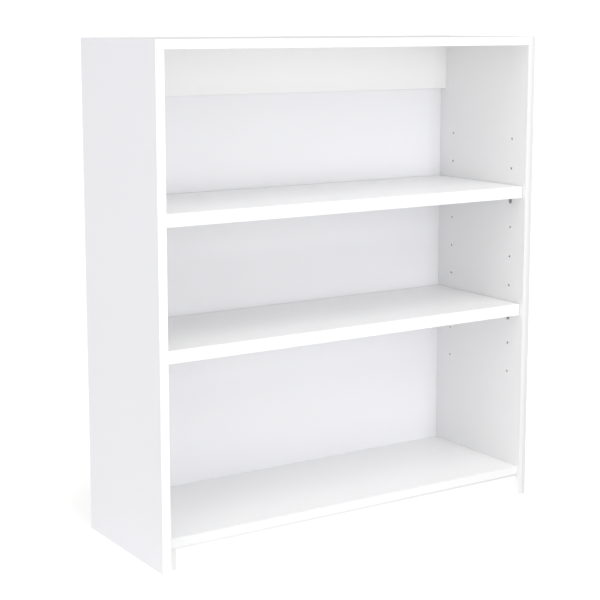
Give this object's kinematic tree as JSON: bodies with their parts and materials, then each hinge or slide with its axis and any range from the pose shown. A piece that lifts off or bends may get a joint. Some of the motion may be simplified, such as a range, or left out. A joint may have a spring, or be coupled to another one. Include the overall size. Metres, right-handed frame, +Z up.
{
  "type": "open bookcase",
  "caption": "Low open bookcase of white laminated board with loose shelves on bracket supports, columns of shelf holes, a rear rail and a recessed kick plate.",
  "frame": {"origin": "middle of the footprint, on the floor", "axes": "+X to the right seen from the front, +Y to the rear, +Z up"},
  "size_m": [0.9, 0.315, 1],
  "materials": {
    "white_laminate": "melamine-faced particleboard, fine satin texture",
    "white_edge_band": "satin plastic edge band",
    "white_fibreboard": "lacquered hardboard",
    "nickel_plated_steel": "nickel-plated sheet steel",
    "zinc_casting": "die-cast zinc",
    "zinc_plated_steel": "zinc-plated steel",
    "beech": "bare beech"
  },
  "bodies": {
    "carcass": {"left_side": "white_laminate", "left_side_front_band": "white_edge_band", "left_side_top_band": "white_edge_band", "left_side_cam_bolts": "zinc_plated_steel", "right_side": "white_laminate", "right_side_front_band": "white_edge_band", "right_side_top_band": "white_edge_band", "right_side_cam_bolts": "zinc_plated_steel", "top_panel": "white_laminate", "top_panel_front_band": "white_edge_band", "top_panel_cam_locks": "zinc_casting", "bottom_shelf": "white_laminate", "bottom_shelf_front_band": "white_edge_band", "bottom_shelf_cam_locks": "zinc_casting", "top_rail": "white_laminate", "top_rail_dowels": "beech", "kick_plate": "white_laminate", "kick_plate_dowels": "beech", "top_rail_lower_band": "white_edge_band", "back_panel": "white_fibreboard", "lower_shelf_support_left_front": "nickel_plated_steel", "lower_shelf_support_left_rear": "nickel_plated_steel", "lower_shelf_support_right_front": "nickel_plated_steel", "lower_shelf_support_right_rear": "nickel_plated_steel", "upper_shelf_support_left_front": "nickel_plated_steel", "upper_shelf_support_left_rear": "nickel_plated_steel", "upper_shelf_support_right_front": "nickel_plated_steel", "upper_shelf_support_right_rear": "nickel_plated_steel"},
    "lower_shelf": {"lower_shelf": "white_laminate", "lower_shelf_front_band": "white_edge_band"},
    "upper_shelf": {"upper_shelf": "white_laminate", "upper_shelf_front_band": "white_edge_band"}
  },
  "joints": [
    {"name": "lower_shelf_slide", "type": "slide", "parent": "carcass", "child": "lower_shelf", "axis": [0, -1, 0], "range_m": [0, 0.3]},
    {"name": "upper_shelf_slide", "type": "slide", "parent": "carcass", "child": "upper_shelf", "axis": [0, -1, 0], "range_m": [0, 0.3]}
  ]
}
